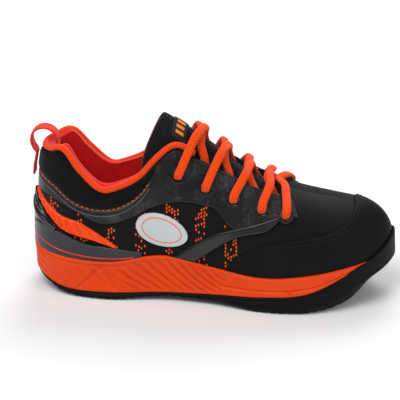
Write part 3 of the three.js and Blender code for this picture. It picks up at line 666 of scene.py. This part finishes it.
def make_sole():
    tread, wall, cup, gap = 3.0, 2.2, FABRIC + 0.4, 0.05
    toe_wall = FABRIC + FILM + 1.2 + wall

    def tray_out(q):
        return np.minimum(ground_out(q), rubber_out(q)) - wall

    def wall_foot(q):
        b = bumper(q)
        return beside(q, mix(rubber_out(q) - wall, 2.9, b), np.minimum(rubber_z(q) - 0.4, seam_z(q) - 4))

    def rubber_edge(q, offset):
        side = beside(q, rubber_out(q) + offset, rubber_z(q))
        toe = place(q, height_at(q, rubber_z(q)), np.full(q.shape, toe_wall - 1.0 + offset * 0.9))
        return mix(side, toe, bumper(q)[:, None])

    def herringbone(x, y, edge):
        zigzag = np.abs(((y + 100) / 11) % 1 - 0.5) * 13
        phase = ((x + zigzag) / 6.4) % 1
        slot = smooth((np.abs(phase - 0.5) - 0.31) / 0.07)
        pivot = np.hypot(x - 62, y + 4) / 22
        rings_here = smooth((1.05 - pivot) / 0.08)
        circle = smooth((np.abs((pivot * 4.2) % 1 - 0.5) - 0.31) / 0.08)
        pattern = mix(slot, circle, rings_here)
        waist = band(x, -32, 14, 6)
        pattern = mix(pattern, 0 * x + 0.25, waist)
        return 1.8 * pattern * smooth((edge - 1.6) / 1.2)

    def tread_wall(q, p):
        """Small steps at the heel, shallow notches where the tread runs out, and a line under the foam."""
        z = p[..., 2]
        low = band(z - ground_z(q), -1, 3.2, 1.5) * smooth((8.2 - np.abs(q)) / 0.6)
        heel = smooth((2.1 - np.abs(q)) / 0.5)
        notch = groove(np.abs((p[..., 0] / 6.4) % 1 - 0.5), 0.2)
        step = groove(np.abs((z / 3.4 + np.abs(q) * 0.9) % 1 - 0.5), 0.2) * band(z, 1.5, 14, 2)
        line = groove(z - rubber_z(q) + 2.4, 0.8) * band(np.abs(q), 4.2, 8.0, 0.8)
        return 0.45 * notch * low * (1 - heel) + 0.8 * step * heel + 0.5 * line

    outsole = sole_body(
        "outsole_rubber",
        "rubber",
        [
            lambda q: beside(q, ground_out(q) - 3, ground_z(q)),
            lambda q: beside(q, ground_out(q), ground_z(q) + 1.2),
            lambda q: beside(
                q,
                mix((ground_out(q) + rubber_out(q)) / 2 + 1.4, 3.9, bumper(q)),
                mix((ground_z(q) * 2 + rubber_z(q)) / 3 + 0.8, seam_z(q) - 5, bumper(q)),
            ),
            lambda q: rubber_edge(q, 0),
            lambda q: rubber_edge(q, -wall),
            wall_foot,
            lambda q: beside(q, tray_out(q) - 2, ground_z(q) + tread),
        ],
        1.3,
        1.1,
        tread_wall,
        herringbone,
        170,
    )
    stands_for(outsole, SHOE, "outsole")

    def foam_wall(q, p):
        """Swept grooves on the foam: a line under the rim, arch sweeps, and a forked ridge at the heel."""
        x, z = p[..., 0], p[..., 2]
        a = np.abs(q)
        low, high = rubber_z(q), rim_z(q)
        h = (z - low) / np.maximum(high - low, 1)
        inside = band(h, 0.08, 0.94, 0.08)
        rim_line = groove(h - 0.87, 0.05) * band(a, 0.5, 3.4, 0.5)
        lean = x + (h - 0.5) * 34 + 4 * np.sin(h * 3)
        sweeps = groove(np.abs(((lean + 200) / 8.6) % 1 - 0.5), 0.2) * band(a, 3.2, 5.2, 0.7)
        low_line = groove(h - 0.3 + 0.03 * (a - 7), 0.07) * band(a, 5.2, 8.3, 0.3)
        nick = groove((x - 62 + (h - 0.3) * 16), 1.2) * band(h, 0.05, 0.33, 0.06) * band(a, 5, 8, 0.5)
        fork = groove(x + 78 + (h - 0.5) * 18, 2.4) + groove(x + 90 - (h - 0.5) * 22, 2.2)
        fork = fork * band(a, 0.9, 3.4, 0.3)
        scales = groove(np.abs(((h * 2.2 + x * 0.09) % 1) - 0.5), 0.16)
        scales = scales * band(a, 1.9, 3.5, 0.4) * band(h, 0.25, 0.8, 0.1)
        heel = groove(np.abs(((h * 4.2 + a * 0.5) % 1) - 0.5), 0.16) * smooth((1.5 - a) / 0.5)
        belly = 0.9 * np.sin(np.pi * np.clip(h, 0, 1)) * band(a, 2.6, 5.6, 1.2)
        cut_depth = 1.3 * sweeps + 0.9 * low_line + nick + 1.4 * fork
        cut_depth = cut_depth + 0.9 * heel + 0.8 * scales + 0.9 * rim_line
        return np.maximum(cut_depth, -1.8) * inside * (1 - bumper(q)) - belly

    midsole = sole_body(
        "midsole_foam",
        "midsole",
        [
            lambda q: beside(q, tray_out(q) - 2, ground_z(q) + tread + gap),
            lambda q: beside(q, tray_out(q) - gap, ground_z(q) + tread + 0.3),
            lambda q: beside(
                q, mix(rubber_out(q) - wall - gap, 2.4, bumper(q)), mix(rubber_z(q) + gap, 36, bumper(q))
            ),
            lambda q: beside(
                q, mix(rubber_out(q) - 0.4, 2.3, bumper(q)), mix(rubber_z(q) + gap, 37, bumper(q))
            ),
            lambda q: beside(
                q,
                mix((rubber_out(q) + foam_out(q)) / 2 - 0.6, 2.3, bumper(q)),
                mix((rubber_z(q) + rim_z(q)) / 2, 38, bumper(q)),
            ),
            lambda q: beside(q, foam_out(q), rim_z(q)),
            lambda q: place(q, height_at(q, rim_z(q)), np.full(q.shape, cup - 0.4)),
            lambda q: beside(q, FABRIC, seam_z(q) - 0.4),
        ],
        1.4,
        1.0,
        foam_wall,
    )
    stands_for(midsole, SHOE, "midsole")
    sockliner = sole_body(
        "sockliner_foam",
        "inner",
        [
            lambda q: beside(q, np.full(q.shape, -6.4), seam_z(q) + 1.6),
            lambda q: beside(q, np.full(q.shape, -6.2), seam_z(q) + 3.8),
            lambda q: beside(q, np.full(q.shape, -7.0), seam_z(q) + 6),
        ],
        1.0,
        2.0,
    )
    stands_for(sockliner, "footbed", "sockliner")


# ---------------------------------------------------------------- upper
def crinkle(q, t):
    """Shallow folds in the fabric, in millimetres."""
    a = np.sin(31 * q + 60 * t) * np.sin(17 * q - 83 * t + 1.3)
    b = np.sin(11 * q + 37 * t + 0.7) * np.sin(23 * q - 19 * t)
    return 0.5 * a + 0.5 * b


def edge_line(side, start, end, height, offset, count=160, inset=0.0):
    """A path along an outline on the surface, inset millimetres below it, with its outward directions."""
    q = np.linspace(start, end, count)
    t = height(q)
    tall = np.linalg.norm(skin(side * q, t + 0.01) - skin(side * q, t - 0.01), axis=1) / 0.02
    t = t - inset / tall
    return place(side * q, t, np.full(count, float(offset))), skin_normal(side * q, t)


def sew(name, look, rows, size=(0.8, 2.1, 0.7), pitch=2.7):
    """One piece for several rows of stitches."""
    parts = [stitch_row(path, out, pitch) for path, out in rows]
    points, out, lie = (np.concatenate([p[k] for p in parts]) for k in range(3))
    return repeat(name, look, points, out, lie, size)


def make_upper():
    quarter = panel("quarter_knit", "knit", 0, 4.62, 0, collar_top, 0, FABRIC, columns=120, rows=40)
    stands_for(quarter, SHOE, "quarter")
    vamp = panel("vamp_mesh", "mesh", 4.6, SEAT, 0, collar_top, 0, FABRIC, columns=130, rows=40)
    stands_for(vamp, SHOE, "vamp")
    inside = panel(
        "vamp_lining_textile",
        "inner",
        4.1,
        SEAT,
        lambda q: height_at(q, seam_z(q) + 2.6),
        lambda q: collar_top(q) - 0.005,
        lambda q, t: -1.2 - 1.4 * smooth((q - 7.5) / 0.5),
        lambda q, t: -0.1 - 1.4 * smooth((q - 7.5) / 0.5),
        columns=80,
    )
    stands_for(inside, SHOE, "vamp_lining")

    def padding(t):
        return 1 + 3 * smooth((t - 0.04) / 0.16)

    lining = panel(
        "collar_lining_textile",
        "lining",
        0,
        4,
        lambda q: height_at(q, seam_z(q) + 2.6),
        lambda q: collar_top(q) + 0.035,
        lambda q, t: -3.0 - padding(t) + 0.25 * crinkle(q, t),
        lambda q, t: -0.1,
        columns=110,
        rows=40,
        radius=3.0,
    )
    stands_for(lining, SHOE, "collar_lining", "collar_foam")

    def film_low(q):
        """The saddle's lower edge: over the strap at the front, so that no knit shows between them."""
        return mix(saddle_low(q), np.minimum(saddle_low(q), strap_top(q) - 0.01), smooth((q - 5.0) / 0.5))

    collar = panel(
        "collar_panel_textile",
        "collar",
        0,
        3.85,
        lambda q: panel_low(q),
        lambda q: collar_top(q) - 0.004,
        LAYER,
        1.6 + 2.0,
        columns=150,
        rows=34,
        radius=3.6,
        relief=lambda q, t, along, total: 0.12 * crinkle(q, t),
    )
    stands_for(collar, SHOE, "collar_panel")

    toe_cap = panel(
        "toe_cap_film",
        "matt",
        5.3,
        SEAT,
        lambda q: rim(q),
        toe_cap_top,
        LAYER,
        2.4,
        columns=140,
        rows=24,
    )
    stands_for(toe_cap, SHOE, "toe_cap")
    for name, side in (("lateral", 1), ("medial", -1)):
        saddle = panel(
            f"saddle_film_{name}",
            "crinkled",
            0.02,
            7,
            film_low,
            lambda q: np.where(q <= 3.8, panel_low(q) + 0.02, collar_top(np.minimum(q, 6.6)) - 0.012),
            LAYER,
            2.4,
            sides=(side,),
            columns=190,
            rows=26,
            relief=lambda q, t, along, total: 0.18 * crinkle(q, t) * (1 - band(q, 1.9, 3.4, 0.5)),
        )
        stands_for(saddle, SHOE, f"saddle_{name}")
        strap = panel(
            f"forefoot_strap_film_{name}",
            "film",
            4.15,
            6.74,
            lambda q: np.maximum(rim(q), mix(strap_low(q), strap_top(q) - 0.02, smooth((q - 6.1) / 0.6))),
            lambda q: np.maximum(strap_top(q), rim(q) + 0.01),
            LAYER,
            3.6,
            sides=(side,),
            columns=90,
            rows=16,
            radius=1.4,
        )
        stands_for(strap, SHOE, f"forefoot_strap_{name}")
        make_insert(name, side)
        make_badge(name, side)
        make_knit_floats(name, side)
    make_clip()
    rows = []
    for side in (1, -1):
        for inset in (1.6, 4.0):
            rows.append(edge_line(side, 5.9, 9.95, toe_cap_top, 2.5, inset=inset))
        rows.append(edge_line(side, 4.3, 6.7, strap_top, 3.7, inset=1.8))
        rows.append(edge_line(side, 4.0, 6.6, lambda q: collar_top(q) - 0.012, 2.5, inset=2.0))
        rows.append(edge_line(side, 4.0, 5.2, saddle_low, 2.5, inset=-1.8))
        rows.append(edge_line(side, 0.1, 3.7, panel_low, 2.5, inset=3.4))
    sew("black_stitches", "thread", rows)
    flecks = [edge_line(side, 0.4, 3.7, panel_low, 3.0, inset=0.2) for side in (1, -1)]
    sew("orange_seam_flecks", "thread_orange", flecks, (0.8, 2.6, 0.7), 4.1)
    insets = (1.4, 5.2)
    grey = [edge_line(side, 0.3, 3.75, panel_low, 2.45, inset=inset) for side in (1, -1) for inset in insets]
    sew("grey_seam_lines", "thread_grey", grey, (0.5, 2.4, 0.4), 2.2)


def make_knit_floats(name, side):
    """Orange floats on the knit, in upright bands 23.5 mm apart."""
    rng = np.random.default_rng(7)
    q = np.linspace(0.3, 5.6, 900)
    steps = np.linalg.norm(np.diff(skin(side * q, np.full(q.shape, 0.2)), axis=0), axis=1)
    run = np.concatenate([[0], np.cumsum(steps)])
    points, out, lie = [], [], []
    for centre in np.arange(22.0, run[-1], 23.5):
        for column in range(-2, 3):
            at = centre + column * 2.15
            if at > run[-1]:
                continue
            station = float(np.interp(at, run, q))
            low, high = float(rim(np.array(station))) + 0.01, float(saddle_low(station)) - 0.005
            tall = float(np.linalg.norm(skin(side * station, 0.2) - skin(side * station, 0.1)) / 0.1)
            t = low + (column % 2) * 1.5 / tall
            while t < high:
                if rng.random() < (0.55 if abs(column) < 2 else 0.3):
                    here = side * (station + 0.004 * rng.standard_normal())
                    points.append(place(here, t, FABRIC + 0.05))
                    out.append(skin_normal(here, t))
                    lie.append(unit(skin(here, t + 0.01) - skin(here, t)))
                t += 2.9 / tall
    spots = (np.array(points), np.array(out), np.array(lie))
    floats = repeat(f"knit_floats_{name}", "thread_orange", *spots, (1.35, 2.3, 0.8))


def make_insert(name, side):
    """The ribbed insert over the heel clip: a fan of slanting ribs, without the beaded upper strip."""

    def ribs(q, t, along, total):
        wave = np.sin(q * 26 + along * 0.42)
        fade = smooth(along / 2.5) * smooth((total - along) / 2.5)
        return 1.1 * wave * fade

    insert = panel(
        f"heel_insert_{name}",
        "insert",
        0.35,
        3.1,
        lambda q: insert_low(q) - 0.004,
        lambda q: insert_top(q) + 0.004,
        LAYER,
        3.0,
        sides=(side,),
        columns=220,
        rows=18,
        radius=1.1,
        relief=ribs,
    )
    stands_for(insert, SHOE, f"heel_insert_{name}")


def make_badge(name, side):
    def half(q):
        return 0.075 * np.sqrt(np.clip(1 - ((q - 4) / 0.5) ** 2, 0, 1)) + 0.0005

    badge = panel(
        f"side_badge_{name}",
        "badge",
        3.5,
        4.5,
        lambda q: 0.165 - half(q),
        lambda q: 0.165 + half(q),
        LAYER,
        2.4,
        sides=(side,),
        columns=60,
        rows=14,
        radius=0.5,
    )
    stands_for(badge, SHOE, f"side_badge_{name}")
    turn = np.linspace(0, 2 * np.pi, 90)
    # the ring follows the badge's outline, a little inside it
    q = 4 + 0.38 * np.cos(turn)
    t = 0.165 + 0.055 * np.sin(turn)
    path = place(side * q, t, np.full(90, 2.35))
    line = tube(f"badge_ring_{name}", "badge_line", path, 0.9, 0.6, skin_normal(side * q, t), 8)
    stands_for(line, SHOE)


def make_clip():
    """The heel clip: a glossy upper shell over a grey band, with a slanting rib and a thin red line."""

    def body(q, t):
        return 3.0 + 1.6 * smooth(2 - q / 1.2)

    def ribs(q, t, along, total):
        h = along / np.maximum(total, 1)
        slant = h - 0.62 + 0.16 * (q - 1.2)
        fade = smooth((2.6 - q) / 0.8)
        recess = groove(slant - 0.16, 0.1) + groove(slant + 0.14, 0.1)
        return 1.3 * recess * fade * smooth(q / 0.4)

    def divide(q):
        """Where the grey band ends and the black shell starts."""
        return mix(rim(q), clip_top(q), 0.36 + 0.62 * smooth(q / 2.4))

    lower = panel(
        "heel_clip_band", "clip", 0, 3.62, rim, divide, LAYER, body, columns=150, rows=24, radius=1.0
    )
    stands_for(lower, SHOE, "heel_clip")
    shell = panel(
        "heel_clip_shell",
        "clip_dark",
        0,
        2.7,
        divide,
        clip_top,
        LAYER,
        body,
        columns=130,
        rows=34,
        radius=1.4,
        relief=ribs,
    )
    stands_for(shell, SHOE)
    for name, side in (("lateral", 1), ("medial", -1)):
        q = np.linspace(0.05, 1.6, 60)
        t = mix(divide(q), clip_top(q), 0.62 - 0.36 * q)
        path = place(side * q, t, body(q, t) + 0.1)
        rib = tube(f"heel_clip_rib_{name}", "clip", path, 3.4, 1.8, skin_normal(side * q, t), 10)
        stands_for(rib, SHOE)
    for name, side in (("lateral", 1), ("medial", -1)):
        low = track((0.3, 0.2), (2, 0.22), (3.5, 0.3))
        q = np.linspace(0.3, 3.45, 90)
        t = mix(rim(q), clip_top(q), low(q))
        path = place(side * q, t, body(q, t) - 0.05)
        line = tube(f"heel_clip_line_{name}", "clip_line", path, 1.1, 0.6, skin_normal(side * q, t), 8)
        stands_for(line, SHOE)


# ---------------------------------------------------------------- tongue
def tongue_face(q, t):
    edge = np.minimum(collar_top(q), 0.86)
    crest = -1 - 1.2 * smooth((q - 6.3) / 0.5)
    return mix(-7.6, crest, smooth((t - edge - 0.02) / (0.97 - edge)))


def make_tongue():
    def filling(q):
        return 3.8 - 2 * smooth((q - 4.5) / 2.5)

    shape = (3.56, 7.4, tongue_low, tongue_top)
    tongue = panel(
        "tongue_mesh",
        "tongue",
        *shape,
        lambda q, t: tongue_face(q, t) - 1.3 - filling(q),
        tongue_face,
        columns=110,
        rows=60,
        radius=1.6,
    )
    stands_for(tongue, "tongue_body", "tongue", "tongue_foam")
    lining = panel(
        "tongue_lining_textile",
        "lining",
        *shape,
        lambda q, t: tongue_face(q, t) - 2.6 - filling(q),
        lambda q, t: tongue_face(q, t) - 1.25 - filling(q),
        columns=80,
        rows=30,
        radius=0.6,
    )
    stands_for(lining, "tongue_body", "tongue_lining")
    label = panel(
        "tongue_label",
        "label",
        4.16,
        4.5,
        0.72,
        1,
        lambda q, t: tongue_face(q, t) - 0.1,
        lambda q, t: tongue_face(q, t) + 0.9,
        columns=16,
        rows=30,
        radius=0.6,
    )
    stands_for(label, "tongue_body", "tongue_label")
    for side in (1, -1):
        for k, low in enumerate((0.79, 0.86, 0.93)):
            mark = panel(
                f"label_block_{'inner' if side < 0 else 'outer'}_{k + 1}",
                "label_mark",
                4.24,
                4.42,
                low,
                low + 0.04,
                lambda q, t: tongue_face(q, t) + 0.8,
                lambda q, t: tongue_face(q, t) + 1.1,
                sides=(side,),
                columns=8,
                rows=8,
                radius=0.25,
            )
            stands_for(mark, "tongue_body")


# ---------------------------------------------------------------- collar binding, lace and eyelets
def beside_collar(q, away, out):
    at = np.abs(q)
    side = np.where(q < 0, -1.0, 1.0)

    def edge(k):
        return skin(side * k, collar_top(k))

    along = unit(edge(at + 0.02) - edge(np.abs(at - 0.02)))
    along = np.where(at[:, None] < 0.02, np.array([0.0, -1, 0]), along)
    normal = skin_normal(q, collar_top(at))
    up = np.cross(normal, along) * np.where(at < 0.02, 1, side)[:, None]
    return edge(at) + up * away + normal * out


def make_binding():
    q = np.linspace(-4.6, 4.6, 260)
    binding = tube("collar_binding_tape", "binding", beside_collar(q, 2.7, 0.6), 4.8, sides=18)
    stands_for(binding, SHOE, "collar_binding")


OVER = [(0, 0.4), (0.5, 3.2), (2.4, 5.6), (7, 6.3)]
UNDER = [(0, 0.4), (0.4, -2.4), (2.8, -4.6)]


def beside_hole(side, k, at, shift=0.0):
    q, t = EYELETS[k]
    scale = np.linalg.norm(skin(q, t + 0.01) - skin(q, t - 0.01)) / 0.02
    return (side * (q + shift), t + at[0] / scale, at[1])


def strand(side, k, high):
    """From one hole, over its eyestay and across the tongue, under the other side to the next hole."""
    after = EYELETS[k + 1][0]
    middle = mix(EYELETS[k][0], after, 0.85)
    edge = float(collar_top(after))
    return [
        *[beside_hole(side, k, at, 0.012 * i * i) for i, at in enumerate(OVER[1:])],
        (side * mix(EYELETS[k][0], middle, 0.6), 0.78, 6.5 if high else 5.8),
        (side * middle, 1, 6.6 if high else 1.9),
        (-side * (middle + 0.02), mix(edge, 1, 0.45), 0.6 if high else -1.2),
        (-side * (after + 0.02), edge + 0.02, -4.4),
        *[beside_hole(-side, k + 1, at) for at in UNDER[:0:-1]],
    ]


def lace_half(start):
    points = []
    for k in range(4):
        side = -start if k % 2 else start
        points += [beside_hole(side, k, OVER[0]), *strand(side, k, side > 0)]
    tail = [(5.4, 0.31, -4), (5.1, 0.32, -4), (4.8, 0.33, -4.1), (4.55, 0.345, -4.2), (4.37, 0.38, -4.5),
            (4.305, 0.425, -4.4), (4.3, 0.45, -2.4)]
    return [(start * q, t, offset) for q, t, offset in tail] + points


def make_lace():
    over = [beside_hole(1, 4, at, 0.012 * max(i - 1, 0) ** 2) for i, at in enumerate(OVER)]
    back = [(-q, t, offset) for q, t, offset in over[::-1]]
    bar = [(6.88, 0.86, 5.6), (6.9, 1, 4.4), (-6.88, 0.86, 5.6)]
    route = lace_half(1) + over + bar + back + lace_half(-1)[::-1]
    q, t, offset = np.array(route).T
    path = spline(place(q, t, offset), 9)
    normals = spline(skin_normal(q, t), 9)
    lace = tube("lace_braid", "lace", path, 6.6, 4.0, normals, 18, squash=0.9)
    stands_for(lace, SHOE, "lace")
    for name, end, before in (("lateral", path[0], path[4]), ("medial", path[-1], path[-5])):
        along = unit(end - before)
        reach = np.array([0.2, 1, 4, 9, 14, 17, 18])[:, None]
        tip = tube(f"aglet_{name}", "aglet", end + along * reach, 3.7, sides=16)
        stands_for(tip, SHOE, f"aglet_{name}")
        side = 1 if name == "lateral" else -1
        for k in range(5):
            make_eyelet(f"eyelet_{name}_{k + 1}", side, k)


def make_eyelet(name, side, k):
    """A moulded ring round a lace hole, with a dark well."""
    q, t = EYELETS[k]
    centre = place(side * q, t, 0.0)
    out = skin_normal(side * q, t)
    ahead = unit(np.cross(out, [0.0, 0, 1]))
    up = np.cross(out, ahead)
    profile = [(0, 2.2), (2.6, 2.2), (3.6, 2.5), (3.9, 3.3), (4.4, 3.75)]  # out from the middle, then up
    profile += [(5.0, 3.6), (5.5, 3.0), (5.6, 2.2), (5.6, 1.4), (0, 1.4)]
    turn = np.linspace(0, 2 * np.pi, 41)
    points = [
        centre + out * high + (ahead * np.cos(a) + up * np.sin(a)) * r for r, high in profile for a in turn
    ]
    ring_obj = make_object(name, points, grid_faces(len(profile), len(turn)), "eyelet")
    stands_for(ring_obj, SHOE, name)


# ---------------------------------------------------------------- pull loop
def make_pull_loop():
    loops = {
        "pull_loop": [
            (-134.6, 106.5), (-137.4, 111), (-138.6, 116), (-137.2, 121.5), (-132.5, 125.4),
            (-126.5, 126), (-121.4, 123.4), (-118.6, 119.4), (-118, 116.6),
        ],
        "pull_tab_outer": [(-137.2, 88), (-136.4, 96), (-134.4, 105.6)],
        "pull_tab_inner": [(-118, 113.6), (-118.6, 106), (-120.6, 98)],
    }
    for name, line in loops.items():
        path = spline([(x, 0, z) for x, z in line], 8)
        tangent = unit(np.gradient(path, axis=0))
        thin = np.cross(tangent, [0.0, 1, 0])
        strip = tube(f"{name}_webbing", "webbing", path, 11, 1.6, thin, 24, squash=0.45)
        if name == "pull_loop":
            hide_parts(name)
            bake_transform(strip)
        else:
            stands_for(strip, SHOE, name)


# ---------------------------------------------------------------- hidden parts, floor, lights and camera
def make_setting():
    for name, look in (("strobel_board", "board"), ("toe_puff", "board"), ("heel_counter", "board")):
        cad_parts[name].data.materials.clear()
        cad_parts[name].data.materials.append(LOOKS[look])

    floor_mesh = bpy.data.meshes.new("floor")
    depth = [(-3, 0.0), (1.2, 0.0), (1.9, 0.15), (2.3, 0.6), (2.4, 1.4), (2.4, 3.0)]
    corners = [(x, y, z) for y, z in depth for x in (-4, 4)]
    faces = [(2 * k, 2 * k + 1, 2 * k + 3, 2 * k + 2) for k in range(len(depth) - 1)]
    floor_mesh.from_pydata(corners, [], faces)
    floor_mesh.shade_smooth()
    floor_mesh.materials.append(mottled("pale_floor", "#f1f1f1", "#f5f5f5", 0.9, 0.4, 0.02, 0.00002))
    floor = bpy.data.objects.new("floor", floor_mesh)
    bpy.context.scene.collection.objects.link(floor)

    bpy.context.scene.view_settings.view_transform = "Standard"
    world = bpy.data.worlds.new("studio")
    bpy.context.scene.world = world
    world.use_nodes = True
    world.node_tree.nodes["Background"].inputs[0].default_value = linear("#f4f6f8")
    world.node_tree.nodes["Background"].inputs[1].default_value = 0.36
    for name, at, size, power in (
        ("key_softbox", (-0.45, -0.75, 1.5), 1.0, 17),
        ("fill_softbox", (1.3, -0.7, 0.9), 0.8, 5),
        ("back_softbox", (0.1, 1.1, 1.2), 0.9, 14),
    ):
        data = bpy.data.lights.new(name, "AREA")
        data.energy = power
        data.size = size
        lamp = bpy.data.objects.new(name, data)
        lamp.location = at
        lamp.rotation_euler = (Vector((0, 0, 0.05)) - Vector(at)).to_track_quat("-Z", "Y").to_euler()
        bpy.context.scene.collection.objects.link(lamp)


def make_camera():
    azimuth, elevation, distance = math.radians(6), math.radians(24), 1.5
    target = Vector((-0.0104, 0.00215, 0.0698))
    level = math.cos(elevation)
    back = Vector((math.sin(azimuth) * level, -math.cos(azimuth) * level, math.sin(elevation)))
    data = bpy.data.cameras.new("camera")
    data.lens = 175.5
    data.sensor_width = 36
    camera = bpy.data.objects.new("camera", data)
    camera.location = target + back * distance
    camera.rotation_euler = (-back).to_track_quat("-Z", "Y").to_euler()
    bpy.context.scene.collection.objects.link(camera)
    bpy.context.scene.camera = camera


make_camera()
make_sole()
make_upper()
make_tongue()
make_binding()
make_lace()
make_pull_loop()
make_setting()
